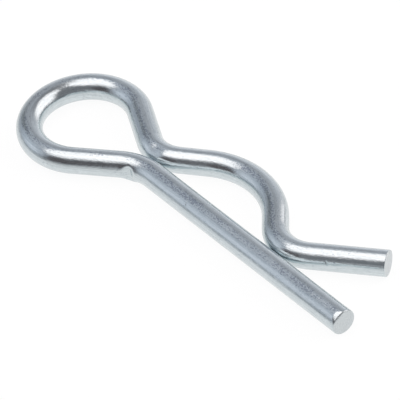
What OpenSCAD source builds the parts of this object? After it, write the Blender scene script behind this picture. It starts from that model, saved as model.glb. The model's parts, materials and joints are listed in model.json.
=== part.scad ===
// Hitch R clip: one round steel wire, bent in one plane.
// The straight leg goes through a cross hole in a shaft, and the bent leg snaps over the shaft's outside.
// The origin is on the shaft's axis, at the middle of the wire's thickness.
// +X runs along the straight leg to its tip, +Y points at the bent leg and +Z runs along the shaft.

/* [Wire] */
// Diameter of the round wire
wire_d = 4; // [2.5:0.1:6]
// How much thinner the wire is drawn where it is bent
bend_thinning = 0.04; // [0.02:0.01:0.2]

/* [Shaft seat] */
// Diameter of the shaft that the clip locks
shaft_d = 16; // [12:0.5:22]
// Room between the shaft and the crown of the seat
seat_clearance = 0.2; // [0:0.05:1]
// Inside radius of the crown that arches over the shaft
seat_r = 11; // [8:0.5:16]
// Straight length that climbs from the neck to the crown
rise_len = 4.4; // [1:0.1:10]
// Straight length that falls from the crown to the grip
fall_len = 2.7; // [1:0.1:10]

/* [Straight leg] */
// Distance from the shaft's axis to the tip of the leg
leg_reach = 32.5; // [26:0.5:60]
// Inside radius of the bend that turns the leg out to the loop
leg_bend_r = 6.9; // [3:0.1:12]

/* [Spring loop] */
// Inside diameter of the loop
loop_d = 12.8; // [9:0.1:24]
// Straight length between the leg's bend and the loop
loop_in_len = 7.3; // [3:0.1:16]
// Straight length between the loop and the neck
loop_out_len = 7.1; // [3:0.1:16]

/* [Neck] */
// Inside radius of the neck, where the wire turns from the loop to the seat
neck_r = 4.2; // [2:0.1:8]
// How far the neck's centre lies behind the start of the leg's bend
neck_lead = 3.7; // [0:0.1:8]
// Free gap between the neck and the leg
neck_gap = 0.1; // [0.05:0.05:2]

/* [Grip] */
// Inside radius of the grip, where the bent leg bears on the straight one
grip_r = 4.4; // [2:0.1:10]
// Free gap between the grip and the straight leg
grip_gap = 0.1; // [0.05:0.05:2]
// Angle of the flared end to the straight leg
flare_angle = 37.9; // [15:0.1:70]
// Length of the flared end past the grip
flare_len = 11.6; // [5:0.1:30]

/* [Cut ends] */
// Angle off square of the cut on the flared end, which is shorter on the straight leg's side
flare_cut_skew = 5; // [0:0.5:15]
// Width of the broken edge around the leg's tip
edge_break = 0.15; // [0.05:0.05:0.5]
// Length of the side of the leg's tip that the shear rolled over
roll_len = 0.75; // [0.2:0.05:2]
// Depth of the rolled-over side
roll_depth = 0.35; // [0.1:0.05:1]
// Direction of the rolled-over side around the leg, from +Y towards +Z
roll_angle = 118; // [0:1:359]

/* [Forming mark] */
// Radius of the forming pin that left its mark inside the leg's bend
mark_pin_r = 1.1; // [0.6:0.1:3]
// Depth of the mark
mark_depth = 0.5; // [0.1:0.05:0.8]
// Angle around the leg's bend from its middle to the mark, towards the loop
mark_turn = 5.5; // [-8:0.5:8]

/* [Hidden] */
$fn = 96;

// Radii of the wire's centreline
wire_r = wire_d / 2;
leg_bend_line = leg_bend_r + wire_r;
loop_line = loop_d / 2 + wire_r;
neck_line = neck_r + wire_r;
seat_line = seat_r + wire_r;
grip_line = grip_r + wire_r;

// Remaining side of a right triangle
function other_side(hypotenuse, side) = sqrt(hypotenuse * hypotenuse - side * side);

// Distance between the centres of two bends that turn opposite ways and are joined by a straight
function spacing(first_line, second_line, straight_len) = norm([first_line + second_line, straight_len]);

// Point at given distances from two others, to the left of the line from the first to the second
function apex(first, first_dist, second, second_dist) =
    let (base = norm(second - first),
         along = (pow(first_dist, 2) - pow(second_dist, 2) + base * base) / (2 * base),
         aside = other_side(first_dist, along),
         dir = (second - first) / base)
    first + along * dir + aside * [-dir.y, dir.x];

// Heading of the straight between two bends; turn is 1 where the first turns left, -1 where it turns right
function heading(first, first_line, second, second_line, straight_len, turn) =
    let (way = second - first)
    atan2(way.y, way.x) + turn * atan2(first_line + second_line, straight_len);

// Angle from one heading anticlockwise to another
function sweep(from, to) = (to - from + 720) % 360;

// Angle by which a bend's thinner ends run on inside the straights beside it
function lap_angle(line) = sqrt(bend_thinning / line) / 2 * 180 / PI;

// Centres of the bends, each from its clearance to the straight leg and its spacing to its neighbour
seat_c = [0, shaft_d / 2 + seat_clearance + wire_r - seat_line];
neck_height = other_side(leg_bend_line + wire_d + neck_gap + neck_line, neck_lead) - leg_bend_line;
neck_back = other_side(spacing(neck_line, seat_line, rise_len), neck_height - seat_c.y);
neck_c = [-neck_back, neck_height];
leg_bend_c = [neck_c.x + neck_lead, -leg_bend_line];
loop_c = apex(leg_bend_c, spacing(leg_bend_line, loop_line, loop_in_len),
              neck_c, spacing(loop_line, neck_line, loop_out_len));
grip_height = wire_d + grip_gap + grip_line;
grip_ahead = other_side(spacing(seat_line, grip_line, fall_len), grip_height - seat_c.y);
grip_c = [grip_ahead, grip_height];

// Headings of the wire, from the tip of the leg to the flared end
leg_heading = 180;
loop_in_heading = heading(leg_bend_c, leg_bend_line, loop_c, loop_line, loop_in_len, 1);
loop_out_heading = heading(loop_c, loop_line, neck_c, neck_line, loop_out_len, -1);
rise_heading = heading(neck_c, neck_line, seat_c, seat_line, rise_len, 1);
fall_heading = heading(seat_c, seat_line, grip_c, grip_line, fall_len, -1);

// Straight wire along +X, and what follows it
module straight(len) {
    rotate([0, 90, 0])
        cylinder(d = wire_d, h = len);
    translate([len, 0, 0])
        children();
}

// Bend around a centre at the origin, from heading +X, with its ends run into the straights
module bend_wire(line, angle, side) {
    lap = lap_angle(line);
    rotate([0, 0, (side > 0 ? -90 : 90 - angle) - lap])
        rotate_extrude(angle = angle + 2 * lap)
            translate([line, 0])
                circle(d = wire_d - bend_thinning);
}

// What follows a bend, from a centre at the origin
module after_bend(line, angle, side) {
    rotate([0, 0, side * angle])
        translate([0, -side * line, 0])
            children();
}

module left_bend(line, angle) {
    translate([0, line, 0]) {
        bend_wire(line, angle, 1);
        after_bend(line, angle, 1) children();
    }
}

module right_bend(line, angle) {
    translate([0, -line, 0]) {
        bend_wire(line, angle, -1);
        after_bend(line, angle, -1) children();
    }
}

// Straight leg along +X from its sheared tip, and what follows it
module leg(len) {
    difference() {
        rotate([0, 90, 0])
            rotate_extrude()
                polygon([[0, 0], [wire_r - edge_break, 0], [wire_r, edge_break], [wire_r, len], [0, len]]);
        rolled_side();
    }
    translate([len, 0, 0])
        children();
}

// Wedge that the shear rolled off one side of the tip, which points along -X here
module rolled_side() {
    rotate([0, 0, 180])
        rotate([roll_angle, 0, 0])
            translate([0, wire_r - roll_depth, 0])
                rotate([0, 0, -atan2(roll_depth, roll_len)])
                    translate([-wire_d, 0, -wire_d])
                        cube([2 * wire_d, wire_d, 2 * wire_d]);
}

// Left bend with the mark of the forming pin on its inside, and what follows it
module marked_bend(line, angle) {
    translate([0, line, 0]) {
        difference() {
            bend_wire(line, angle, 1);
            rotate([0, 0, angle / 2 + mark_turn - 90])
                translate([leg_bend_r + bend_thinning / 2 + mark_depth - mark_pin_r, 0, 0])
                    cylinder(r = mark_pin_r, h = 2 * wire_d, center = true);
        }
        after_bend(line, angle, 1) children();
    }
}

// Flared end along +X, with its cut off square
module flare(len) {
    difference() {
        straight(len + wire_d);
        translate([len, 0, 0])
            rotate([0, 0, -flare_cut_skew])
                translate([0, -wire_d, -wire_d])
                    cube(2 * wire_d);
    }
}

// The wire, bend by bend, from the tip of the leg
module clip() {
    color("lightsteelblue")
        translate([leg_reach, 0, 0])
            rotate([0, 0, leg_heading])
                leg(leg_reach - leg_bend_c.x)
                marked_bend(leg_bend_line, sweep(leg_heading, loop_in_heading))
                straight(loop_in_len)
                right_bend(loop_line, sweep(loop_out_heading, loop_in_heading))
                straight(loop_out_len)
                left_bend(neck_line, sweep(loop_out_heading, rise_heading))
                straight(rise_len)
                right_bend(seat_line, sweep(fall_heading, rise_heading))
                straight(fall_len)
                left_bend(grip_line, sweep(fall_heading, flare_angle))
                flare(flare_len);
}

clip();
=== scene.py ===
"""Bright zinc R clip: its finished wire, and the plain studio that it is shown in.

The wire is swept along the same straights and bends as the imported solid. All places are in the part's own
frame: the origin on the shaft's axis, +X along the straight leg, +Y towards the humped leg and +Z up as the
clip lies. Sizes of the wire are written in millimetres and turned into metres where a mesh is made. A
station is a distance along the wire from the tip of the straight leg.
"""

import json
import logging
import math
from collections.abc import Callable
from dataclasses import dataclass, field
from enum import Enum

import bpy
import numpy as np
from mathutils import Matrix, Vector


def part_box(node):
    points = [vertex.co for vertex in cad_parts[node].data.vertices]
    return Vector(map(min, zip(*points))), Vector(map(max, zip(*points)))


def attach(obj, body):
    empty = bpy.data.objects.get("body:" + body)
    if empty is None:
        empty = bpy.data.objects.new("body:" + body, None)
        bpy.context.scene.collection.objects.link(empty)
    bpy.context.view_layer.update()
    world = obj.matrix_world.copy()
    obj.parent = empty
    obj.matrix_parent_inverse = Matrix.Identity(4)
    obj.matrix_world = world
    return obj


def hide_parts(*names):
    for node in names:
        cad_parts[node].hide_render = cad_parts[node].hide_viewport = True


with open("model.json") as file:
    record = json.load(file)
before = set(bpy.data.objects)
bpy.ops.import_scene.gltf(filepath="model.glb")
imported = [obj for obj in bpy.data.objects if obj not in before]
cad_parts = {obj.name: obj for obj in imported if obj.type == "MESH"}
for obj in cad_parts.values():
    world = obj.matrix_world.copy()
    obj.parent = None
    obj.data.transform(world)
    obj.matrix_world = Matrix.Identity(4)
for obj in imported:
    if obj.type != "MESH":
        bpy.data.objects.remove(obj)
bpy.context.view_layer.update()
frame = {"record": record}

# Metres in a millimetre
MM = 0.001
# Side of the photograph in pixels
IMAGE_SIDE = 400
# Steps of a search by halving
HALVINGS = 40

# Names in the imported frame
NODE = "clip"
BODY = "root"

# Attributes of the wire's mesh
UNBENT = "unbent"
# Share of dark specks in the base colour: wear pits and partly painted shade, thinned where the highlights
# fall
SPECK_SHARE = "scuffed"
STATION = "station"
RING_SCALE = "ring_scale"

Pair = tuple[float, float]
Triple = tuple[float, float, float]

log = logging.getLogger("r_clip")


class Turn(Enum):
    """Which way a bend turns the wire, seen from above."""

    LEFT = 1
    RIGHT = -1


class Ramp(Enum):
    """How a value goes from one end of its range to the other."""

    STRAIGHT = "LINEAR"
    SOFT = "SMOOTHSTEP"


def heading_vector(degrees: np.ndarray | float) -> np.ndarray:
    """Unit vectors in the clip's plane for headings in degrees from +X."""
    angle = np.radians(degrees)
    return np.stack([np.cos(angle), np.sin(angle), np.zeros_like(angle)], axis=-1)


def sky_vector(azimuth: float, elevation: float) -> Vector:
    """Points at a part of the room.

    Args:
        azimuth: Degrees from +X towards +Y.
        elevation: Degrees above the floor.

    Returns:
        A unit vector.
    """
    a, e = math.radians(azimuth), math.radians(elevation)
    return Vector((math.cos(a) * math.cos(e), math.sin(a) * math.cos(e), math.sin(e)))


def ease(share: np.ndarray) -> np.ndarray:
    """Smooth step from 0 to 1 as the share goes from 0 to 1."""
    t = np.clip(share, 0.0, 1.0)
    return t * t * (3.0 - 2.0 * t)


def rounded_max(first: np.ndarray, second: np.ndarray, rounding: float) -> np.ndarray:
    """Larger of two distances, with the edge between their surfaces rounded off.

    Args:
        first: Signed distances to one surface.
        second: Signed distances to the other.
        rounding: How far from the edge the rounding starts.

    Returns:
        Signed distances to the solid that lies inside both.
    """
    near = np.maximum(rounding - np.abs(first - second), 0.0) / rounding
    return np.maximum(first, second) + near * near * rounding / 4.0


def way_out(distance: Callable[[np.ndarray], np.ndarray], low: np.ndarray, high: np.ndarray) -> np.ndarray:
    """Finds by halving where each of a set of rays leaves a solid.

    Args:
        distance: Gives the signed distance to the solid for a run along each ray.
        low: Runs that are inside the solid.
        high: Runs that are outside it, or the furthest that may be.

    Returns:
        The runs at which the rays leave the solid.
    """
    for _ in range(HALVINGS):
        middle = (low + high) / 2.0
        outside = distance(middle) > 0.0
        high = np.where(outside, middle, high)
        low = np.where(outside, low, middle)
    return (low + high) / 2.0


class NodeBench:
    """Adds nodes to one node tree and joins their sockets."""

    def __init__(self, tree: bpy.types.NodeTree) -> None:
        """Starts with an empty tree."""
        self.tree = tree
        self.tree.nodes.clear()

    def add(self, kind: str, **settings: object) -> bpy.types.Node:
        """Adds a node.

        Args:
            kind: The node's type name.
            settings: Properties of the node to set.

        Returns:
            The new node.
        """
        node = self.tree.nodes.new(kind)
        for name, value in settings.items():
            setattr(node, name, value)
        return node

    def set(self, node: bpy.types.Node, **values: object) -> bpy.types.Node:
        """Sets the plain values of a node's inputs.

        Args:
            node: The node.
            values: A value for each input, with _ for the spaces in its name.

        Returns:
            The same node.
        """
        for name, value in values.items():
            node.inputs[name.replace("_", " ")].default_value = value
        return node

    def join(self, source: bpy.types.NodeSocket, target: bpy.types.NodeSocket) -> None:
        """Links an output to an input."""
        self.tree.links.new(source, target)

    def feed(self, value: object, target: bpy.types.NodeSocket) -> None:
        """Links a socket to an input, or sets the input's plain value.

        Args:
            value: A socket, a number or a colour.
            target: The input.
        """
        if isinstance(value, bpy.types.NodeSocket):
            self.join(value, target)
        else:
            target.default_value = value

    def chain(self, source: bpy.types.NodeSocket, *nodes: bpy.types.Node) -> bpy.types.NodeSocket:
        """Runs an output through the first sockets of some nodes.

        Args:
            source: The output to start from.
            nodes: The nodes, in order.

        Returns:
            The last node's first output.
        """
        for node in nodes:
            self.join(source, node.inputs[0])
            source = node.outputs[0]
        return source

    def math(self, operation: str, *values: object) -> bpy.types.NodeSocket:
        """Adds a Math node.

        Args:
            operation: The node's operation.
            values: A socket or a number for each of its inputs.

        Returns:
            The node's result.
        """
        node = self.add("ShaderNodeMath", operation=operation)
        for value, socket in zip(values, node.inputs):
            self.feed(value, socket)
        return node.outputs[0]

    def mix(self, share: bpy.types.NodeSocket, first: object, second: object) -> bpy.types.NodeSocket:
        """Adds a mix of two colours.

        Args:
            share: How much of the second colour there is.
            first: A socket or a colour.
            second: A socket or a colour.

        Returns:
            The mixed colour.
        """
        node = self.add("ShaderNodeMix", data_type="RGBA")
        sockets = {socket.identifier: socket for socket in (*node.inputs, *node.outputs)}
        self.join(share, sockets["Factor_Float"])
        for value, name in ((first, "A_Color"), (second, "B_Color")):
            self.feed(value if isinstance(value, bpy.types.NodeSocket) else (*value, 1.0), sockets[name])
        return sockets["Result_Color"]

    def ramp(
        self, value: bpy.types.NodeSocket, low: float, high: float, kind: Ramp = Ramp.STRAIGHT,
        start: float = 0.0, stop: float = 1.0,
    ) -> bpy.types.NodeSocket:
        """Maps a range of a value onto another range.

        Args:
            value: The value.
            low: Value that becomes the start of the new range.
            high: Value that becomes the end of it.
            kind: How it goes from one to the other.
            start: Start of the new range.
            stop: End of the new range.

        Returns:
            The mapped value.
        """
        node = self.add("ShaderNodeMapRange", interpolation_type=kind.value)
        self.set(node, From_Min=low, From_Max=high, To_Min=start, To_Max=stop)
        self.join(value, node.inputs["Value"])
        return node.outputs[0]

    def noise(
        self, vector: bpy.types.NodeSocket, scale: bpy.types.NodeSocket, detail: float, roughness: float,
    ) -> bpy.types.NodeSocket:
        """Adds a noise texture.

        Args:
            vector: Its coordinates.
            scale: Its scale.
            detail: How many finer layers it has.
            roughness: How strong they are.

        Returns:
            The noise's value.
        """
        node = self.add("ShaderNodeTexNoise", noise_dimensions="3D")
        self.set(node, Detail=detail, Roughness=roughness)
        self.join(vector, node.inputs["Vector"])
        self.join(scale, node.inputs["Scale"])
        return node.outputs[0]

    def attribute(self, name: str) -> bpy.types.NodeOutputs:
        """Outputs of a new node that reads an attribute of the mesh."""
        return self.add("ShaderNodeAttribute", attribute_type="GEOMETRY", attribute_name=name).outputs

    def stretched(self, vector: bpy.types.NodeSocket, factor: bpy.types.NodeSocket) -> bpy.types.NodeSocket:
        """Draws a pattern out along X.

        Args:
            vector: The pattern's coordinates.
            factor: How many times longer it gets along X.

        Returns:
            The new coordinates.
        """
        parts = self.add("ShaderNodeSeparateXYZ")
        self.join(vector, parts.inputs[0])
        drawn = self.add("ShaderNodeCombineXYZ")
        self.join(self.math("DIVIDE", parts.outputs["X"], factor), drawn.inputs["X"])
        self.join(parts.outputs["Y"], drawn.inputs["Y"])
        self.join(parts.outputs["Z"], drawn.inputs["Z"])
        return drawn.outputs[0]


class SurfaceGroup:
    """A shader group that draws a pattern on the unbent wire. Each kind names its own sockets."""

    name = ""
    inputs: tuple[str, ...] = ()
    results: tuple[str, ...] = ()

    @classmethod
    def draw(cls, bench: NodeBench, given: bpy.types.NodeOutputs) -> tuple[bpy.types.NodeSocket, ...]:
        """Draws the pattern.

        Args:
            bench: Where the group's nodes are made.
            given: The group's inputs, with the place on the wire as Vector.

        Returns:
            A socket for each of the results.
        """
        raise NotImplementedError

    @classmethod
    def tree(cls) -> bpy.types.NodeTree:
        """Builds the group once.

        Returns:
            The group.
        """
        if cls.name in bpy.data.node_groups:
            return bpy.data.node_groups[cls.name]
        tree = bpy.data.node_groups.new(cls.name, "ShaderNodeTree")
        tree.interface.new_socket("Vector", in_out="INPUT", socket_type="NodeSocketVector")
        for name in cls.inputs:
            tree.interface.new_socket(name, in_out="INPUT", socket_type="NodeSocketFloat")
        for name in cls.results:
            tree.interface.new_socket(name, in_out="OUTPUT", socket_type="NodeSocketFloat")
        bench = NodeBench(tree)
        given = bench.add("NodeGroupInput")
        made = bench.add("NodeGroupOutput")
        for name, socket in zip(cls.results, cls.draw(bench, given.outputs)):
            bench.join(socket, made.inputs[name])
        return tree

    @classmethod
    def place(cls, bench: NodeBench, vector: bpy.types.NodeSocket, **sizes: float) -> bpy.types.Node:
        """Puts the group in a material.

        Args:
            bench: Where the material's nodes are made.
            vector: The place on the unbent wire.
            sizes: Values of the group's inputs, with _ for the spaces in their names.

        Returns:
            The group's node.
        """
        node = bench.set(bench.add("ShaderNodeGroup", node_tree=cls.tree()), **sizes)
        bench.join(vector, node.inputs["Vector"])
        return node


class GrainGroup(SurfaceGroup):
    """Orange peel of the plating: its height in metres, a mask of its crests and one of larger clouds."""

    name = "plating_grain"
    inputs = ("Grain Size", "Grain Stretch", "Grain Depth")
    results = ("Height", "Crests", "Cloud")
    crest_range = (0.3, 0.7)
    grains_per_cloud = 8.0

    @classmethod
    def draw(cls, bench: NodeBench, given: bpy.types.NodeOutputs) -> tuple[bpy.types.NodeSocket, ...]:
        """Draws the grain.

        Args:
            bench: Where the group's nodes are made.
            given: The group's inputs.

        Returns:
            The height, the crests and the cloud.
        """
        drawn = bench.stretched(given["Vector"], given["Grain Stretch"])
        scale = bench.math("DIVIDE", 1.0, given["Grain Size"])
        grain = bench.noise(drawn, scale, detail=3.0, roughness=0.6)
        cloud_scale = bench.math("DIVIDE", scale, cls.grains_per_cloud)
        cloud = bench.noise(drawn, cloud_scale, detail=2.0, roughness=0.5)
        height = bench.math("MULTIPLY", grain, given["Grain Depth"])
        return height, bench.ramp(grain, *cls.crest_range), cloud


class DrawingLinesGroup(SurfaceGroup):
    """Long fine lines that the drawing die left along the wire: their height in metres, and a mask."""

    name = "drawing_lines"
    inputs = ("Line Width", "Line Stretch", "Line Depth")
    results = ("Height", "Lines")

    @classmethod
    def draw(cls, bench: NodeBench, given: bpy.types.NodeOutputs) -> tuple[bpy.types.NodeSocket, ...]:
        """Draws the lines.

        Args:
            bench: Where the group's nodes are made.
            given: The group's inputs.

        Returns:
            The height and the mask.
        """
        drawn = bench.stretched(given["Vector"], given["Line Stretch"])
        scale = bench.math("DIVIDE", 1.0, given["Line Width"])
        lines = bench.noise(drawn, scale, detail=2.0, roughness=0.55)
        return bench.math("MULTIPLY", lines, given["Line Depth"]), lines


class SpecksGroup(SurfaceGroup):
    """Dark specks, partly wear pits and partly painted shade, fewer where their share is low, in denser and
    thinner drifts.
    """

    name = "scuff_specks"
    inputs = ("Scuffed", "Speck Size", "Speck Stretch")
    results = ("Specks",)
    specks_per_drift = 14.0
    drift_middle = 0.5
    drift_gain = 0.35
    bare_loss = 0.2
    speck_range = (0.45, 0.66)

    @classmethod
    def draw(cls, bench: NodeBench, given: bpy.types.NodeOutputs) -> tuple[bpy.types.NodeSocket, ...]:
        """Draws the specks.

        Args:
            bench: Where the group's nodes are made.
            given: The group's inputs.

        Returns:
            The mask of specks.
        """
        drawn = bench.stretched(given["Vector"], given["Speck Stretch"])
        scale = bench.math("DIVIDE", 1.0, given["Speck Size"])
        dots = bench.noise(drawn, scale, detail=1.0, roughness=0.5)
        drift_scale = bench.math("DIVIDE", scale, cls.specks_per_drift)
        drift = bench.noise(drawn, drift_scale, detail=1.0, roughness=0.5)
        bare = bench.math("MULTIPLY", bench.math("SUBTRACT", 1.0, given["Scuffed"]), cls.bare_loss)
        denser = bench.math("MULTIPLY", bench.math("SUBTRACT", drift, cls.drift_middle), cls.drift_gain)
        level = bench.math("ADD", bench.math("SUBTRACT", dots, bare), denser)
        return (bench.ramp(level, *cls.speck_range, kind=Ramp.SOFT),)


@dataclass(frozen=True)
class ZincFinish:
    """Bright zinc plating on steel wire under a thin hazy film, with sizes in mm."""

    name: str
    light_tone: Triple
    dark_tone: Triple
    smooth: float
    rough: float
    grain_size: float
    grain_stretch: float
    grain_depth: float
    line_width: float
    line_stretch: float
    line_depth: float
    streak_range: Pair = (0.4, 0.6)
    gloss_range: Pair = (0.3, 0.7)
    speck_tone: Triple = (0.33, 0.385, 0.45)
    speck_size: float = 0.19
    speck_stretch: float = 1.5
    film: float = 0.8
    film_roughness: float = 0.38
    film_ior: float = 1.9

    def material(self) -> bpy.types.Material:
        """Builds the finish once.

        Returns:
            The material.
        """
        if self.name in bpy.data.materials:
            return bpy.data.materials[self.name]
        material = bpy.data.materials.new(self.name)
        material.use_nodes = True
        bench = NodeBench(material.node_tree)
        out = bench.add("ShaderNodeOutputMaterial")
        metal = bench.add("ShaderNodeBsdfPrincipled")
        bench.set(metal, Metallic=1.0, Coat_Weight=self.film, Coat_IOR=self.film_ior)
        bench.set(metal, Coat_Roughness=self.film_roughness)
        bench.join(metal.outputs[0], out.inputs["Surface"])

        spot = bench.attribute(UNBENT)["Vector"]
        grain = GrainGroup.place(
            bench, spot,
            Grain_Size=self.grain_size * MM,
            Grain_Stretch=self.grain_stretch,
            Grain_Depth=self.grain_depth * MM,
        )
        lines = DrawingLinesGroup.place(
            bench, spot,
            Line_Width=self.line_width * MM,
            Line_Stretch=self.line_stretch,
            Line_Depth=self.line_depth * MM,
        )
        specks = SpecksGroup.place(
            bench, spot,
            Speck_Size=self.speck_size * MM,
            Speck_Stretch=self.speck_stretch,
        )
        bench.join(bench.attribute(SPECK_SHARE)["Fac"], specks.inputs["Scuffed"])

        streaks = bench.ramp(lines.outputs["Lines"], *self.streak_range)
        masks = (grain.outputs["Crests"], grain.outputs["Cloud"], streaks)
        total = bench.math("ADD", bench.math("ADD", masks[0], masks[1]), masks[2])
        tone = bench.mix(bench.math("DIVIDE", total, len(masks)), self.dark_tone, self.light_tone)
        # Dark specks darken the base colour: wear pits and partly painted shade, kept thin where the
        # highlights fall
        specked_tone = bench.mix(specks.outputs["Specks"], tone, self.speck_tone)
        bench.join(specked_tone, metal.inputs["Base Color"])

        gloss = bench.ramp(lines.outputs["Lines"], *self.gloss_range, start=self.smooth, stop=self.rough)
        bench.join(gloss, metal.inputs["Roughness"])

        relief = bench.set(bench.add("ShaderNodeBump"), Strength=1.0, Distance=1.0)
        height = bench.math("ADD", grain.outputs["Height"], lines.outputs["Height"])
        bench.join(height, relief.inputs["Height"])
        bench.join(relief.outputs[0], metal.inputs["Normal"])
        return material


@dataclass(frozen=True)
class Stretch:
    """One straight or one bend of the wire, from where it starts."""

    start: Pair
    heading: float
    length: float
    curvature: float = 0.0

    def at(self, run: np.ndarray) -> tuple[np.ndarray, np.ndarray]:
        """Centreline along this stretch.

        Args:
            run: Distances from the stretch's start, in mm.

        Returns:
            Points in mm, and headings in degrees.
        """
        origin = np.array([*self.start, 0.0])
        if self.curvature == 0.0:
            headings = np.full_like(run, self.heading)
            return origin + run[:, None] * heading_vector(headings), headings
        headings = self.heading + np.degrees(run * self.curvature)
        centre = origin + heading_vector(self.heading + 90.0) / self.curvature
        return centre - heading_vector(headings + 90.0) / self.curvature, headings


@dataclass
class WireForm:
    """Sizes of the bent wire in mm, as in the part's source, and the line that it follows."""

    wire_r: float
    leg_reach: float
    crown: float
    eye_r: float
    seat_r: float = 11.0
    rise_len: float = 4.4
    fall_len: float = 2.7
    leg_bend_r: float = 6.9
    loop_in_len: float = 7.3
    loop_out_len: float = 7.1
    neck_r: float = 4.2
    neck_lead: float = 3.7
    neck_gap: float = 0.1
    grip_r: float = 4.4
    grip_gap: float = 0.1
    flare_angle: float = 37.9
    flare_len: float = 11.6
    stretches: list[Stretch] = field(default_factory=list)

    @classmethod
    def from_frame(cls) -> "WireForm":
        """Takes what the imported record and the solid's box state, and works out the stretches.

        Returns:
            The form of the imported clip.
        """
        mounts = {m["name"]: m["dims"] for m in frame["record"]["mounts"]}
        form = cls(
            wire_r=mounts["straight_leg"]["r_mm"],
            leg_reach=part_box(NODE)[1].x / MM,
            crown=mounts["shaft_seat"]["r_mm"],
            eye_r=mounts["pull_eye"]["r_mm"],
        )
        form.lay_out()
        return form

    @staticmethod
    def apex(first: np.ndarray, first_dist: float, second: np.ndarray, second_dist: float) -> np.ndarray:
        """Point at given distances from two others.

        Args:
            first: One point.
            first_dist: Distance from it.
            second: The other point.
            second_dist: Distance from that one.

        Returns:
            The point on the left of the line from the first to the second.
        """
        base = float(np.hypot(*(second - first)))
        along = (first_dist**2 - second_dist**2 + base**2) / (2.0 * base)
        aside = math.sqrt(first_dist**2 - along**2)
        way = (second - first) / base
        return first + along * way + aside * np.array([-way[1], way[0]])

    @staticmethod
    def heading(first: np.ndarray, second: np.ndarray, lines: float, straight: float, turn: Turn) -> float:
        """Heading of the straight between two bends that turn opposite ways.

        Args:
            first: Centre of the first bend.
            second: Centre of the second bend.
            lines: Sum of the radii of their centrelines.
            straight: Length of the straight.
            turn: Which way the first bend turns.

        Returns:
            The heading in degrees.
        """
        way = second - first
        return math.degrees(math.atan2(way[1], way[0]) + turn.value * math.atan2(lines, straight))

    def lay_out(self) -> None:
        """Works out the stretches from the tip of the straight leg to the flared end."""
        leg_line = self.leg_bend_r + self.wire_r
        loop_line = self.eye_r + self.wire_r
        neck_line = self.neck_r + self.wire_r
        seat_line = self.seat_r + self.wire_r
        grip_line = self.grip_r + self.wire_r
        wire_d = 2.0 * self.wire_r

        seat = np.array([0.0, self.crown + self.wire_r - seat_line])
        neck_reach = leg_line + wire_d + self.neck_gap + neck_line
        neck_y = math.sqrt(neck_reach**2 - self.neck_lead**2) - leg_line
        neck_span = math.hypot(neck_line + seat_line, self.rise_len)
        neck = np.array([-math.sqrt(neck_span**2 - (neck_y - seat[1]) ** 2), neck_y])
        leg = np.array([neck[0] + self.neck_lead, -leg_line])
        loop = self.apex(
            leg, math.hypot(leg_line + loop_line, self.loop_in_len),
            neck, math.hypot(loop_line + neck_line, self.loop_out_len),
        )
        grip_y = wire_d + self.grip_gap + grip_line
        grip_span = math.hypot(seat_line + grip_line, self.fall_len)
        grip = np.array([math.sqrt(grip_span**2 - (grip_y - seat[1]) ** 2), grip_y])

        loop_in = self.heading(leg, loop, leg_line + loop_line, self.loop_in_len, Turn.LEFT)
        loop_out = self.heading(loop, neck, loop_line + neck_line, self.loop_out_len, Turn.RIGHT)
        rise = self.heading(neck, seat, neck_line + seat_line, self.rise_len, Turn.LEFT)
        fall = self.heading(seat, grip, seat_line + grip_line, self.fall_len, Turn.RIGHT)

        self.stretches = [Stretch((self.leg_reach, 0.0), 180.0, self.leg_reach - leg[0])]
        self.bend(leg_line, Turn.LEFT, loop_in)
        self.run_on(self.loop_in_len)
        self.bend(loop_line, Turn.RIGHT, loop_out)
        self.run_on(self.loop_out_len)
        self.bend(neck_line, Turn.LEFT, rise)
        self.run_on(self.rise_len)
        self.bend(seat_line, Turn.RIGHT, fall)
        self.run_on(self.fall_len)
        self.bend(grip_line, Turn.LEFT, self.flare_angle)
        self.run_on(self.flare_len)

    def end(self) -> tuple[Pair, float]:
        """Where the last stretch ends.

        Returns:
            The point in mm, and the heading in degrees.
        """
        last = self.stretches[-1]
        points, headings = last.at(np.array([last.length]))
        return (float(points[0, 0]), float(points[0, 1])), float(headings[0])

    def bend(self, line: float, turn: Turn, to_heading: float) -> None:
        """Adds a bend.

        Args:
            line: Radius of its centreline in mm.
            turn: Which way it turns.
            to_heading: Heading in degrees at which it ends.
        """
        start, heading = self.end()
        sweep = (turn.value * (to_heading - heading)) % 360.0
        self.stretches.append(Stretch(start, heading, math.radians(sweep) * line, turn.value / line))

    def run_on(self, length: float) -> None:
        """Adds a straight."""
        self.stretches.append(Stretch(*self.end(), length))

    @property
    def length(self) -> float:
        """Length of the whole wire in mm."""
        return sum(s.length for s in self.stretches)

    def at(self, stations: np.ndarray) -> tuple[np.ndarray, np.ndarray]:
        """Centreline at any stations, run straight on past both ends.

        Args:
            stations: Stations in mm.

        Returns:
            Points in mm, and headings in degrees.
        """
        points = np.zeros((len(stations), 3))
        headings = np.zeros(len(stations))
        done = 0.0
        for i, stretch in enumerate(self.stretches):
            lower = -np.inf if i == 0 else done
            upper = np.inf if i == len(self.stretches) - 1 else done + stretch.length
            inside = (stations >= lower) & (stations <= upper)
            points[inside], headings[inside] = stretch.at(stations[inside] - done)
            done += stretch.length
        return points, headings


@dataclass(frozen=True)
class CutPlane:
    """A flat that a cut left on an end of the wire, and the rounding of its edges in mm."""

    normal: Triple
    offset: float
    rounding: float


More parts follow.
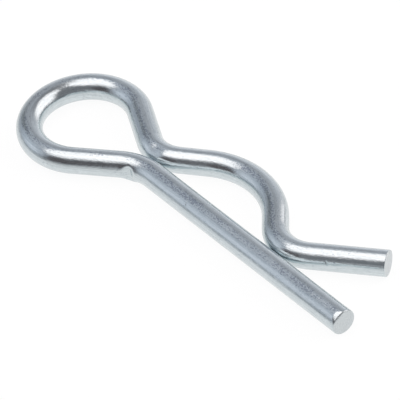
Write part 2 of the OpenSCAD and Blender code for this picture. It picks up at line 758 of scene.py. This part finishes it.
@dataclass(frozen=True)
class CutEnd:
    """One cut end of the wire, in mm: where it is, its outward axis and its flats.

    Points up to a depth behind the end are drawn along rays from a core further back. The shares are
    the least and the most of a ray at which the surface is looked for.
    """

    place: Triple
    axis: Triple
    planes: tuple[CutPlane, ...]
    depth: float = 1.8
    core: float = 2.4
    least_share: float = 0.2
    most_share: float = 1.3

    def distance(self, points: np.ndarray, wire_r: float) -> np.ndarray:
        """Signed distance of points to the cut end, with the edges rounded.

        Args:
            points: Points in mm.
            wire_r: Radius of the wire in mm.

        Returns:
            Distances in mm, negative inside.
        """
        offset = points - np.array(self.place)
        axis = np.array(self.axis)
        radial = offset - (offset @ axis)[:, None] * axis
        result = np.linalg.norm(radial, axis=1) - wire_r
        for plane in self.planes:
            flat = offset @ np.array(plane.normal) - plane.offset
            result = rounded_max(result, flat, plane.rounding)
        return result

    def fit(self, points: np.ndarray, wire_r: float) -> np.ndarray:
        """Draws the points near the end onto its flats and rounded edges.

        Args:
            points: Points of the swept wire in mm.
            wire_r: Radius of the wire in mm.

        Returns:
            The moved points in mm.
        """
        axis = np.array(self.axis)
        core = np.array(self.place) - self.core * axis
        offset = points - np.array(self.place)
        near = (offset @ axis > -self.depth) & (np.linalg.norm(offset, axis=1) < 2.0 * self.core)
        rays = points[near] - core
        shares = way_out(
            lambda share: self.distance(core + rays * share[:, None], wire_r),
            np.full(len(rays), self.least_share),
            np.full(len(rays), self.most_share),
        )
        moved = points.copy()
        moved[near] = core + rays * shares[:, None]
        return moved


@dataclass(frozen=True)
class ShearedEnds:
    """How the shear left the two ends of the wire, in mm and degrees.

    One side of the leg's tip is rolled over, at an angle round the leg from +Y towards +Z. The flared
    end's cut is skewed off square, and is shorter on the straight leg's side.
    """

    roll_depth: float = 0.28
    roll_len: float = 0.55
    roll_angle: float = 118.0
    roll_rounding: float = 0.18
    tip_rounding: float = 0.2
    flare_skew: float = 5.0
    flare_rounding: float = 0.09

    def tip(self, form: WireForm) -> CutEnd:
        """The tip of the straight leg.

        Args:
            form: Sizes and line of the wire.

        Returns:
            Its cut.
        """
        ahead = (1.0, 0.0, 0.0)
        angle = math.radians(self.roll_angle)
        side = (0.0, math.cos(angle), math.sin(angle))
        slope = math.atan2(self.roll_depth, self.roll_len)
        roll = tuple(math.cos(slope) * s + math.sin(slope) * a for s, a in zip(side, ahead))
        roll_offset = (form.wire_r - self.roll_depth) * math.cos(slope)
        flats = (CutPlane(roll, roll_offset, self.roll_rounding), CutPlane(ahead, 0.0, self.tip_rounding))
        return CutEnd(place=(form.leg_reach, 0.0, 0.0), axis=ahead, planes=flats)

    def flare(self, form: WireForm) -> CutEnd:
        """The end of the flared leg.

        Args:
            form: Sizes and line of the wire.

        Returns:
            Its cut.
        """
        place, heading = form.end()
        flat = CutPlane(tuple(heading_vector(heading - self.flare_skew)), 0.0, self.flare_rounding)
        return CutEnd(place=(*place, 0.0), axis=tuple(heading_vector(heading)), planes=(flat,))


@dataclass(frozen=True)
class FormingMark:
    """Dent of the forming tool on the inside of the leg's bend, with the metal that it pushed aside, in mm.

    The turn is the angle round the bend from its middle towards the loop. The tool is a wedge with a round
    nose, and its flank is how far it draws back for each millimetre to the side. The swell lies a little
    before the mark, at an angle round the wire from the inside of the bend. The reach and the core bound
    where points are moved.
    """

    turn: float = 5.5
    depth: float = 0.5
    nose_r: float = 0.5
    flank: float = 0.85
    edge: float = 0.2
    swell: float = 0.18
    swell_ahead: float = -0.3
    swell_length: float = 1.2
    swell_angle: float = -40.0
    swell_spread: float = 26.0
    reach: float = 4.0
    core: float = 0.3


@dataclass(frozen=True)
class SpeckRun:
    """A run of the wire, with its stations in mm, and the strength of its dark specks beside the rest.

    A raised strength is painted shade where dark reflections run. A lowered one keeps the highlights clean.
    """

    start: float
    stop: float
    force: float


@dataclass(frozen=True)
class SpeckWearAndShade:
    """The side of the clip with dark specks, with angles in degrees and lengths in mm.

    The specks are wear pits and partly painted shade. They are even up to one angle from the way the side
    faces, and none from the reach on. Their strength is raised on the runs where dark reflections run, and
    lowered where the highlights fall. Each run of the wire blends into the next over a short length.
    """

    azimuth: float = -103.5
    elevation: float = 75.0
    even: float = 3.0
    reach: float = 26.0
    blend: float = 1.5
    # Speck strength per run: painted shade raises it where dark reflections run, and it is lowered to 0.3
    # and 0.4 where the highlights fall
    runs: tuple[SpeckRun, ...] = (
        SpeckRun(27.0, 45.0, 1.3),
        SpeckRun(45.8, 52.0, 0.4),
        SpeckRun(88.0, 102.0, 1.25),
        SpeckRun(104.5, 117.0, 0.3),
        SpeckRun(118.0, 135.0, 1.45),
        SpeckRun(136.0, 153.0, 0.3),
    )

    def force(self, stations: np.ndarray) -> np.ndarray:
        """Strength of the dark specks along the wire, raised as painted shade and lowered under the
        highlights.

        Args:
            stations: Stations in mm.

        Returns:
            The strength at each, with 1 as the usual.
        """
        force = np.ones_like(stations)
        for run in self.runs:
            entered = ease((stations - run.start) / self.blend + 0.5)
            left = ease((stations - run.stop) / self.blend + 0.5)
            force += (run.force - 1.0) * (entered - left)
        return force

    def share(self, normals: np.ndarray, stations: np.ndarray) -> np.ndarray:
        """Share of dark specks at each point, partly wear pits and partly painted shade.

        Args:
            normals: Outward normals of the points.
            stations: Their stations in mm.

        Returns:
            Shares from 0, with 1 as the usual most.
        """
        facing = normals @ np.array(sky_vector(self.azimuth, self.elevation))
        away = np.degrees(np.arccos(np.clip(facing, -1.0, 1.0)))
        return self.force(stations) * ease((self.reach - away) / (self.reach - self.even))


@dataclass(frozen=True)
class Nick:
    """Short scratch or shallow dent in the wire, in mm, with its angle round the wire in degrees."""

    station: float
    angle: float
    long_way: float
    wide: float
    depth: float
    slant: float = 0.0

    @property
    def reach(self) -> float:
        """Distance along the wire past which nothing of it is left."""
        return 3.0 * self.wide + 2.0 * abs(self.slant) * self.long_way


@dataclass
class BentWire:
    """The clip itself: one round wire, swept, marked, cut at both ends and plated, with sizes in mm.

    The rings of the mesh lie closer together within the fine reaches of its ends and marks. At both ends,
    rings of the cap's scales close it to a pole.
    """

    form: WireForm
    skin: ZincFinish
    cut: ZincFinish
    mark: FormingMark = FormingMark()
    # Side with dark specks: wear pits and partly painted shade
    speck_wear_and_shade: SpeckWearAndShade = SpeckWearAndShade()
    shear: ShearedEnds = ShearedEnds()
    nicks: tuple[Nick, ...] = (
        Nick(station=34.2, angle=46.0, long_way=0.5, wide=0.1, depth=0.03, slant=0.15),
        Nick(station=103.7, angle=119.0, long_way=0.85, wide=0.95, depth=0.115),
        Nick(station=142.9, angle=160.0, long_way=0.3, wide=0.12, depth=0.08, slant=0.25),
        Nick(station=150.2, angle=171.0, long_way=0.8, wide=0.08, depth=0.04, slant=0.1),
    )
    sides: int = 96
    ring_step: float = 0.24
    fine_step: float = 0.06
    tip_fine: float = 1.6
    mark_fine: float = 2.4
    flare_fine: float = 1.2
    nick_fine: float = 0.4
    cap_step: float = 0.002
    cap_scales: tuple[float, ...] = (0.04, 0.2, 0.36, 0.52, 0.66, 0.78, 0.87, 0.93, 0.97)

    def mark_station(self) -> float:
        """Station of the forming mark, from the middle of the leg's bend."""
        leg, bend = self.form.stretches[:2]
        return leg.length + bend.length / 2.0 + math.radians(self.mark.turn) / bend.curvature

    def ring_stations(self) -> np.ndarray:
        """Places the rings along the wire, closer together at the marks and the ends.

        Returns:
            Their stations in mm.
        """
        fine = [(nick.station, self.nick_fine + 2.0 * nick.wide) for nick in self.nicks]
        fine.append((0.0, self.tip_fine))
        fine.append((self.mark_station(), self.mark_fine))
        fine.append((self.form.length, self.flare_fine))
        stations = [0.0]
        while stations[-1] < self.form.length:
            here = stations[-1]
            close = any(abs(here - place) < reach for place, reach in fine)
            stations.append(here + (self.fine_step if close else self.ring_step))
        stations = np.array(stations)
        return stations * (self.form.length / stations[-1])

    def route(self) -> bpy.types.Object:
        """Line of points with the wire's stations and ring sizes, closed to a pole at both ends.

        Returns:
            An object whose mesh is the line, in metres.
        """
        rings = self.ring_stations()
        cap_scale = np.array(self.cap_scales)
        cap_run = self.cap_step * np.arange(len(cap_scale), 0, -1)
        stations = np.concatenate([rings[0] - cap_run, rings, rings[-1] + cap_run[::-1]])
        scale = np.concatenate([cap_scale, np.ones(len(rings)), cap_scale[::-1]])
        points, _ = self.form.at(stations)
        mesh = bpy.data.meshes.new("wire_route")
        edges = [(i, i + 1) for i in range(len(points) - 1)]
        mesh.from_pydata((points * MM).tolist(), edges, [])
        for name, values in ((STATION, stations * MM), (RING_SCALE, scale)):
            attribute = mesh.attributes.new(name, "FLOAT", "POINT")
            attribute.data.foreach_set("value", values.astype(np.float32))
        route = bpy.data.objects.new("wire_route", mesh)
        bpy.context.scene.collection.objects.link(route)
        return route

    @staticmethod
    def unbent_place(bench: NodeBench, kept: bpy.types.Node) -> bpy.types.NodeSocket:
        """Adds nodes that give a point's place on the unbent wire.

        Args:
            bench: Where the nodes are made.
            kept: The node that keeps the line's own points as Centre and Tangent.

        Returns:
            The station, the distance to the left of the line and the height above it, in metres.
        """
        offset = bench.add("ShaderNodeVectorMath", operation="SUBTRACT")
        bench.join(bench.add("GeometryNodeInputPosition").outputs[0], offset.inputs[0])
        bench.join(kept.outputs["Centre"], offset.inputs[1])
        aside = bench.add("ShaderNodeVectorMath", operation="CROSS_PRODUCT")
        aside.inputs[0].default_value = (0.0, 0.0, 1.0)
        bench.join(kept.outputs["Tangent"], aside.inputs[1])
        left = bench.add("ShaderNodeVectorMath", operation="DOT_PRODUCT")
        bench.join(offset.outputs[0], left.inputs[0])
        bench.join(aside.outputs[0], left.inputs[1])
        rise = bench.add("ShaderNodeSeparateXYZ")
        bench.join(offset.outputs[0], rise.inputs[0])
        station = bench.set(bench.add("GeometryNodeInputNamedAttribute", data_type="FLOAT"), Name=STATION)
        unbent = bench.add("ShaderNodeCombineXYZ")
        bench.join(station.outputs[0], unbent.inputs["X"])
        bench.join(left.outputs["Value"], unbent.inputs["Y"])
        bench.join(rise.outputs["Z"], unbent.inputs["Z"])
        return unbent.outputs[0]

    def sweep_tree(self) -> bpy.types.NodeTree:
        """Makes nodes that sweep a round section along a line and keep each point's unbent place.

        Returns:
            The tree, with inputs for the line, the wire's radius, its sides and its material.
        """
        tree = bpy.data.node_groups.new("wire_sweep", "GeometryNodeTree")
        face = tree.interface
        face.new_socket("Route", in_out="INPUT", socket_type="NodeSocketGeometry")
        face.new_socket("Wire Radius", in_out="INPUT", socket_type="NodeSocketFloat")
        face.new_socket("Sides", in_out="INPUT", socket_type="NodeSocketInt")
        face.new_socket("Finish", in_out="INPUT", socket_type="NodeSocketMaterial")
        face.new_socket("Wire", in_out="OUTPUT", socket_type="NodeSocketGeometry")
        bench = NodeBench(tree)
        given = bench.add("NodeGroupInput")
        made = bench.add("NodeGroupOutput")

        line = bench.add("GeometryNodeMeshToCurve")
        upright = bench.add("GeometryNodeSetCurveNormal", mode="Z_UP")
        kept = bench.add("GeometryNodeCaptureAttribute", domain="POINT")
        captured = {"Centre": "GeometryNodeInputPosition", "Tangent": "GeometryNodeInputTangent"}
        for name, source in captured.items():
            kept.capture_items.new("VECTOR", name)
            bench.join(bench.add(source).outputs[0], kept.inputs[name])
        bench.chain(given.outputs["Route"], line, upright, kept)

        section = bench.add("GeometryNodeCurvePrimitiveCircle")
        bench.join(given.outputs["Sides"], section.inputs["Resolution"])
        bench.join(given.outputs["Wire Radius"], section.inputs["Radius"])
        ring_scale = bench.add("GeometryNodeInputNamedAttribute", data_type="FLOAT")
        bench.set(ring_scale, Name=RING_SCALE)
        swept = bench.set(bench.add("GeometryNodeCurveToMesh"), Fill_Caps=True)
        bench.join(section.outputs[0], swept.inputs["Profile Curve"])
        bench.join(ring_scale.outputs[0], swept.inputs["Scale"])

        stored = bench.add("GeometryNodeStoreNamedAttribute", data_type="FLOAT_VECTOR", domain="POINT")
        bench.set(stored, Name=UNBENT)
        bench.join(self.unbent_place(bench, kept), stored.inputs["Value"])
        smooth = bench.add("GeometryNodeSetShadeSmooth")
        real = bench.add("GeometryNodeRealizeInstances")
        dressed = bench.add("GeometryNodeSetMaterial")
        bench.join(given.outputs["Finish"], dressed.inputs["Material"])
        finished = bench.chain(kept.outputs[0], swept, stored, smooth, real, dressed)
        bench.join(finished, made.inputs["Wire"])
        return tree

    def sweep(self) -> bpy.types.Object:
        """Sweeps the wire and turns the result into a plain mesh.

        Returns:
            The wire's object, at the origin.
        """
        route = self.route()
        tree = self.sweep_tree()
        modifier = route.modifiers.new("wire_sweep", "NODES")
        modifier.node_group = tree
        values = {
            "Wire Radius": self.form.wire_r * MM,
            "Sides": self.sides,
            "Finish": self.skin.material(),
        }
        for item in tree.interface.items_tree:
            if item.in_out == "INPUT" and item.name in values:
                modifier[item.identifier] = values[item.name]
        graph = bpy.context.evaluated_depsgraph_get()
        mesh = bpy.data.meshes.new_from_object(route.evaluated_get(graph), depsgraph=graph)
        mesh.name = "plated_wire"
        bpy.data.objects.remove(route)
        wire = bpy.data.objects.new("plated_wire", mesh)
        bpy.context.scene.collection.objects.link(wire)
        return wire

    @staticmethod
    def points_of(mesh: bpy.types.Mesh) -> np.ndarray:
        """Reads the vertices of a mesh.

        Args:
            mesh: The mesh, in metres.

        Returns:
            Points in mm.
        """
        flat = np.zeros(len(mesh.vertices) * 3, np.float32)
        mesh.vertices.foreach_get("co", flat)
        return flat.reshape(-1, 3).astype(float) / MM

    @staticmethod
    def stations_of(mesh: bpy.types.Mesh) -> np.ndarray:
        """Reads the stations of a swept mesh's vertices.

        Args:
            mesh: The mesh, in metres.

        Returns:
            Stations in mm.
        """
        values = np.zeros(len(mesh.vertices), np.float32)
        mesh.attributes[STATION].data.foreach_get("value", values)
        return values.astype(float) / MM

    def press_mark(self, points: np.ndarray, stations: np.ndarray) -> np.ndarray:
        """Presses the forming tool into the inside of the leg's bend, and swells the metal beside it.

        Args:
            points: Points of the wire in mm.
            stations: Their stations in mm.

        Returns:
            The moved points in mm.
        """
        mark = self.mark
        place = self.mark_station()
        near = np.abs(stations - place) < mark.reach
        centres, headings = self.form.at(stations[near])
        rays = points[near] - centres
        reach = np.linalg.norm(rays, axis=1)
        rays = rays / reach[:, None]
        inward = heading_vector(headings + 90.0)
        angle = np.degrees(np.arctan2(rays[:, 2], np.sum(rays * inward, axis=1)))
        lateral = ((stations[near] - place - mark.swell_ahead) / mark.swell_length) ** 2
        around = ((angle - mark.swell_angle) / mark.swell_spread) ** 2
        swollen = reach + mark.swell * np.exp(-lateral - around)

        line, turn = self.form.at(np.array([place]))
        inward_here, ahead_here = heading_vector(turn[0] + 90.0), heading_vector(turn[0])

        def distance(run: np.ndarray) -> np.ndarray:
            """Signed distance to the swollen wire less the tool.

            Args:
                run: Distances along the rays in mm.

            Returns:
                Distances in mm, negative inside.
            """
            spot = centres + rays * run[:, None] - line[0]
            rise = mark.flank * (np.hypot(spot @ ahead_here, mark.nose_r) - mark.nose_r)
            inside_tool = spot @ inward_here - (self.form.wire_r - mark.depth + rise)
            return rounded_max(run - swollen, inside_tool, mark.edge)

        moved = points.copy()
        moved[near] = centres + rays * way_out(distance, np.full(len(rays), mark.core), swollen)[:, None]
        return moved

    def scratch(self, points: np.ndarray, stations: np.ndarray) -> np.ndarray:
        """Sinks the nicks into the surface.

        Args:
            points: Points of the wire in mm.
            stations: Their stations in mm.

        Returns:
            The moved points in mm.
        """
        moved = points.copy()
        for nick in self.nicks:
            near = np.abs(stations - nick.station) < nick.reach
            centres, headings = self.form.at(stations[near])
            rays = points[near] - centres
            left = np.sum(rays * heading_vector(headings + 90.0), axis=1)
            angle = np.degrees(np.arctan2(rays[:, 2], left))
            round_way = np.radians((angle - nick.angle + 180.0) % 360.0 - 180.0) * self.form.wire_r
            along = stations[near] - nick.station - nick.slant * round_way
            deep = nick.depth * np.exp(-((along / nick.wide) ** 2) - (round_way / nick.long_way) ** 4)
            moved[near] -= rays / np.linalg.norm(rays, axis=1)[:, None] * deep[:, None]
        return moved

    def store_specks(self, mesh: bpy.types.Mesh, stations: np.ndarray) -> None:
        """Stores the share of dark specks at each point for the finish: wear pits and partly painted shade.

        Args:
            mesh: The wire's mesh.
            stations: Stations of its vertices in mm.
        """
        normals = np.zeros(len(mesh.vertices) * 3, np.float32)
        mesh.vertex_normals.foreach_get("vector", normals)
        shares = self.speck_wear_and_shade.share(normals.reshape(-1, 3).astype(float), stations)
        mesh.attributes.new(SPECK_SHARE, "FLOAT", "POINT").data.foreach_set("value", shares.astype(np.float32))

    def dress_cuts(self, mesh: bpy.types.Mesh, stations: np.ndarray) -> None:
        """Gives the two cut faces their own finish.

        Args:
            mesh: The wire's mesh.
            stations: Stations of its vertices in mm.
        """
        mesh.materials.append(self.cut.material())
        face_stations = np.array([stations[list(face.vertices)].mean() for face in mesh.polygons])
        beyond = (face_stations < -self.cap_step) | (face_stations > self.form.length + self.cap_step)
        mesh.polygons.foreach_set("material_index", beyond.astype(np.int32))

    def build(self) -> bpy.types.Object:
        """Sweeps, marks, cuts and dresses the wire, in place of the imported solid.

        Returns:
            The finished piece.
        """
        wire = self.sweep()
        mesh = wire.data
        stations = self.stations_of(mesh)
        points = self.press_mark(self.points_of(mesh), stations)
        points = self.scratch(points, stations)
        for end in (self.shear.tip(self.form), self.shear.flare(self.form)):
            points = end.fit(points, self.form.wire_r)
        mesh.vertices.foreach_set("co", (points * MM).astype(np.float32).ravel())
        mesh.update()
        self.store_specks(mesh, stations)
        self.dress_cuts(mesh, stations)
        mesh.update()
        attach(wire, BODY)
        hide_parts(NODE)
        return wire


@dataclass(frozen=True)
class LightPanel:
    """A softbox or a dark card as a flat panel with soft edges, in metres.

    The corners run round it. The fades are shares of its width or height, for the edges between corners
    1 and 4, 2 and 3, 1 and 2, and 4 and 3.
    """

    name: str
    corners: tuple[Triple, ...]
    fades: tuple[float, float, float, float]
    tone: Triple
    radiance: float
    parts: int = 12

    def material(self) -> bpy.types.Material:
        """Even light that thins out to nothing towards the panel's edges.

        Returns:
            The material.
        """
        material = bpy.data.materials.new(self.name)
        material.use_nodes = True
        bench = NodeBench(material.node_tree)
        out = bench.add("ShaderNodeOutputMaterial")
        glow = bench.add("ShaderNodeEmission")
        bench.set(glow, Color=(*self.tone, 1.0), Strength=self.radiance)
        thinned = bench.add("ShaderNodeMixShader")
        bench.join(bench.add("ShaderNodeBsdfTransparent").outputs[0], thinned.inputs[1])
        bench.join(glow.outputs[0], thinned.inputs[2])
        bench.join(thinned.outputs[0], out.inputs["Surface"])
        place = bench.add("ShaderNodeSeparateXYZ")
        bench.join(bench.add("ShaderNodeTexCoord").outputs["UV"], place.inputs[0])
        across, along = place.outputs["X"], place.outputs["Y"]
        inward = (across, bench.math("SUBTRACT", 1.0, across), along, bench.math("SUBTRACT", 1.0, along))
        cover: object = 1.0
        for run, fade in zip(inward, self.fades):
            cover = bench.math("MULTIPLY", bench.ramp(run, 0.0, fade, Ramp.SOFT), cover)
        bench.join(cover, thinned.inputs[0])
        return material

    def build(self) -> bpy.types.Object:
        """Hangs the panel.

        Returns:
            The panel's object.
        """
        first, second, third, fourth = (np.array(corner) for corner in self.corners)
        steps = np.linspace(0.0, 1.0, self.parts + 1)
        shares = [(u, v) for v in steps for u in steps]
        points = [
            (1 - v) * ((1 - u) * first + u * second) + v * ((1 - u) * fourth + u * third) for u, v in shares
        ]
        row = self.parts + 1
        faces = [
            (j * row + i, j * row + i + 1, (j + 1) * row + i + 1, (j + 1) * row + i)
            for j in range(self.parts) for i in range(self.parts)
        ]
        mesh = bpy.data.meshes.new(self.name)
        mesh.from_pydata([tuple(p) for p in points], [], faces)
        layer = mesh.uv_layers.new(name="panel")
        for loop in mesh.loops:
            layer.data[loop.index].uv = shares[loop.vertex_index]
        mesh.materials.append(self.material())
        panel = bpy.data.objects.new(self.name, mesh)
        panel.visible_camera = False
        bpy.context.scene.collection.objects.link(panel)
        return panel


@dataclass(frozen=True)
class WallTone:
    """A soft oval patch of the room's walls, with angles in degrees.

    Its place is an azimuth and an elevation, its half size one across and one up, and its even share the
    part that has the full tone.
    """

    place: Pair
    half_size: Pair
    tone: Triple
    even: float = 0.0


@dataclass(frozen=True)
class Room:
    """The room round the table, as grey walls with lighter and darker patches."""

    base: Triple
    patches: tuple[WallTone, ...]

    def build(self) -> bpy.types.World:
        """Makes the room the scene's world.

        Returns:
            The world.
        """
        world = bpy.data.worlds.new("room")
        world.use_nodes = True
        bench = NodeBench(world.node_tree)
        out = bench.add("ShaderNodeOutputWorld")
        shade = bench.add("ShaderNodeBackground")
        bench.join(shade.outputs[0], out.inputs["Surface"])
        way = bench.add("ShaderNodeSeparateXYZ")
        bench.join(bench.add("ShaderNodeTexCoord").outputs["Generated"], way.inputs[0])
        azimuth = bench.math("DEGREES", bench.math("ARCTAN2", way.outputs["Y"], way.outputs["X"]))
        elevation = bench.math("DEGREES", bench.math("ARCSINE", way.outputs["Z"]))
        colour: object = self.base
        for patch in self.patches:
            turn = bench.math("WRAP", bench.math("SUBTRACT", azimuth, patch.place[0]), 180.0, -180.0)
            climb = bench.math("SUBTRACT", elevation, patch.place[1])
            shares = [bench.math("DIVIDE", run, half) for run, half in zip((turn, climb), patch.half_size)]
            squares = [bench.math("MULTIPLY", share, share) for share in shares]
            away = bench.math("SQRT", bench.math("ADD", *squares))
            colour = bench.mix(bench.ramp(away, 1.0, patch.even, Ramp.SOFT), colour, patch.tone)
        bench.join(colour, shade.inputs["Color"])
        bpy.context.scene.world = world
        return world


@dataclass(frozen=True)
class Table:
    """The white table top, polished, which shows the clip's shadow faintly.

    The glows are the shares of even white where the table is seen and where it is mirrored, and the rest
    of it is lit by the room. The lift is added to the white only where it is seen.
    """

    level: float
    reach: float = 3.0
    albedo: float = 0.9
    seen_glow: float = 0.86
    mirrored_glow: float = 0.85
    glow: float = 0.98
    seen_lift: float = 0.09
    polish_ior: float = 1.55
    polish_roughness: float = 0.08

    def material(self) -> bpy.types.Material:
        """White that glows where it is looked at or mirrored, under a polish, and clear from below.

        Returns:
            The material.
        """
        material = bpy.data.materials.new("white_table")
        material.use_nodes = True
        bench = NodeBench(material.node_tree)
        out = bench.add("ShaderNodeOutputMaterial")
        matt = bench.add("ShaderNodeBsdfDiffuse")
        bench.set(matt, Color=(self.albedo, self.albedo, self.albedo, 1.0))
        glow = bench.add("ShaderNodeEmission")
        path = bench.add("ShaderNodeLightPath")
        lift = bench.math("MULTIPLY", path.outputs["Is Camera Ray"], self.seen_lift)
        bench.join(bench.math("ADD", lift, self.glow), glow.inputs["Strength"])
        mirrored = bench.math("ADD", path.outputs["Is Glossy Ray"], path.outputs["Is Transmission Ray"])
        seen = bench.math("MULTIPLY", path.outputs["Is Camera Ray"], self.seen_glow)
        share = bench.math("ADD", seen, bench.math("MULTIPLY", mirrored, self.mirrored_glow))
        lit = bench.add("ShaderNodeMixShader")
        bench.join(share, lit.inputs[0])
        bench.join(matt.outputs[0], lit.inputs[1])
        bench.join(glow.outputs[0], lit.inputs[2])

        polish = bench.set(bench.add("ShaderNodeBsdfGlossy"), Roughness=self.polish_roughness)
        skim = bench.set(bench.add("ShaderNodeFresnel"), IOR=self.polish_ior)
        polished = bench.add("ShaderNodeMixShader")
        bench.join(bench.math("MULTIPLY", skim.outputs[0], mirrored), polished.inputs[0])
        bench.join(lit.outputs[0], polished.inputs[1])
        bench.join(polish.outputs[0], polished.inputs[2])

        below = bench.add("ShaderNodeBsdfTransparent")
        sided = bench.add("ShaderNodeMixShader")
        bench.join(bench.add("ShaderNodeNewGeometry").outputs["Backfacing"], sided.inputs[0])
        bench.join(polished.outputs[0], sided.inputs[1])
        bench.join(below.outputs[0], sided.inputs[2])
        bench.join(sided.outputs[0], out.inputs["Surface"])
        return material

    def build(self) -> bpy.types.Object:
        """Lays the table top under the clip.

        Returns:
            The table's object.
        """
        mesh = bpy.data.meshes.new("table")
        corners = [(-1, -1), (1, -1), (1, 1), (-1, 1)]
        points = [(x * self.reach, y * self.reach, self.level) for x, y in corners]
        mesh.from_pydata(points, [], [(0, 1, 2, 3)])
        mesh.materials.append(self.material())
        table = bpy.data.objects.new("table", mesh)
        bpy.context.scene.collection.objects.link(table)
        return table


@dataclass(frozen=True)
class PhotoCamera:
    """The photograph's viewpoint, with angles in degrees and lengths in metres."""

    azimuth: float = 55.857
    elevation: float = 41.59
    roll: float = -6.847
    target: Triple = (-0.002357, 0.001593, 0.0)
    distance: float = 0.7788
    focal_pixels: float = 5316.6
    sensor_mm: float = 36.0
    nearest: float = 0.01
    furthest: float = 20.0

    def build(self) -> bpy.types.Object:
        """Sets up the camera as the scene's own.

        Returns:
            The camera's object.
        """
        a, e, r = (math.radians(x) for x in (self.azimuth, self.elevation, self.roll))
        back = Vector((math.sin(a) * math.cos(e), -math.cos(a) * math.cos(e), math.sin(e)))
        level = Vector((math.cos(a), math.sin(a), 0.0))
        upright = back.cross(level)
        right = math.cos(r) * level + math.sin(r) * upright
        up = math.cos(r) * upright - math.sin(r) * level
        lens = bpy.data.cameras.new("photo_camera")
        lens.sensor_width = self.sensor_mm
        lens.lens = self.focal_pixels * self.sensor_mm / IMAGE_SIDE
        lens.clip_start, lens.clip_end = self.nearest, self.furthest
        camera = bpy.data.objects.new("photo_camera", lens)
        turn = Matrix((right, up, back)).transposed().to_4x4()
        camera.matrix_world = Matrix.Translation(Vector(self.target) + back * self.distance) @ turn
        bpy.context.scene.collection.objects.link(camera)
        bpy.context.scene.camera = camera
        return camera


def overhead(*slopes: Pair, height: float = 1.2) -> tuple[Triple, ...]:
    """Corners of a level panel above the clip, from their slopes along X and Y as seen from the clip."""
    return tuple((x * height, y * height, height) for x, y in slopes)


def beside(azimuth: float, distance: float, sides: Pair, rise: Pair) -> tuple[Triple, ...]:
    """Corners of an upright panel beside the clip.

    Args:
        azimuth: Which way it lies, in degrees from +X towards +Y.
        distance: How far off it is, in metres.
        sides: Slopes sideways to its two sides, as seen from the clip.
        rise: Slopes upwards to its foot and its head.

    Returns:
        The four corners.
    """
    ahead = sky_vector(azimuth, 0.0)
    left = sky_vector(azimuth + 90.0, 0.0)
    (start, stop), (foot, head) = sides, rise
    slopes = ((start, foot), (stop, foot), (stop, head), (start, head))
    return tuple(tuple((ahead + left * aside + Vector((0.0, 0.0, up))) * distance) for aside, up in slopes)


BRIGHT_ZINC = ZincFinish(
    name="bright_zinc",
    light_tone=(0.762, 0.83, 0.853),
    dark_tone=(0.525, 0.592, 0.618),
    smooth=0.11,
    rough=0.18,
    grain_size=0.36,
    grain_stretch=2.0,
    grain_depth=0.026,
    line_width=0.22,
    line_stretch=26.0,
    line_depth=0.01,
)

SHEARED_ZINC = ZincFinish(
    name="sheared_zinc",
    light_tone=(0.7, 0.75, 0.765),
    dark_tone=(0.6, 0.65, 0.67),
    smooth=0.3,
    rough=0.42,
    grain_size=0.3,
    grain_stretch=1.0,
    grain_depth=0.06,
    line_width=0.3,
    line_stretch=1.0,
    line_depth=0.03,
)

PANEL_TONE = (1.0, 0.94, 0.935)

PANELS = (
    LightPanel(
        name="overhead_panel",
        corners=overhead((-0.52, -1.3), (0.72, -0.76), (0.44, 0.2), (-0.65, 0.46)),
        fades=(0.05, 0.1, 0.45, 0.2),
        tone=PANEL_TONE,
        radiance=1.52,
    ),
    LightPanel(
        name="side_panel",
        corners=beside(azimuth=50.0, distance=0.8, sides=(-0.47, 1.78), rise=(0.09, 2.6)),
        fades=(0.17, 0.42, 0.04, 0.45),
        tone=PANEL_TONE,
        radiance=1.46,
    ),
    LightPanel(
        name="dark_card",
        corners=beside(azimuth=-90.0, distance=0.12, sides=(-0.54, 0.35), rise=(0.0, 1.0)),
        fades=(0.3, 0.09, 0.25, 0.35),
        tone=(1.0, 0.9, 0.95),
        radiance=0.1,
    ),
)

STUDIO_ROOM = Room(
    base=(0.205, 0.208, 0.222),
    patches=(
        WallTone(place=(-72.0, 4.0), half_size=(35.0, 20.0), tone=(0.42, 0.42, 0.44)),
        WallTone(place=(-148.0, 26.0), half_size=(62.0, 62.0), tone=(0.49, 0.53, 0.6)),
        WallTone(place=(-133.0, 20.0), half_size=(34.0, 30.0), tone=(0.74, 0.77, 0.84)),
        WallTone(place=(128.0, 10.0), half_size=(60.0, 60.0), tone=(0.58, 0.59, 0.635)),
        WallTone(place=(138.0, -8.0), half_size=(60.0, 34.0), tone=(0.97, 0.97, 1.0)),
        WallTone(place=(178.0, 56.0), half_size=(60.0, 30.0), tone=(0.46, 0.485, 0.54), even=0.2),
        WallTone(place=(176.0, 28.0), half_size=(14.0, 26.0), tone=(0.22, 0.235, 0.25), even=0.2),
        WallTone(place=(180.0, -4.0), half_size=(35.0, 22.0), tone=(0.47, 0.49, 0.53)),
        WallTone(place=(-140.0, 0.0), half_size=(50.0, 8.0), tone=(0.36, 0.39, 0.42), even=0.2),
    ),
)


def main() -> None:
    """Builds the clip and its studio in order."""
    logging.basicConfig(level=logging.INFO, format="%(name)s: %(message)s")
    bpy.context.scene.view_settings.view_transform = "Standard"
    form = WireForm.from_frame()
    wire = BentWire(form, BRIGHT_ZINC, SHEARED_ZINC).build()
    log.info("%s: %d faces, %.1f mm of wire", wire.name, len(wire.data.polygons), form.length)
    for item in (Table(level=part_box(NODE)[0].z), *PANELS, STUDIO_ROOM, PhotoCamera()):
        log.info("%s: in place", item.build().name)


if __name__ == "__main__":
    main()
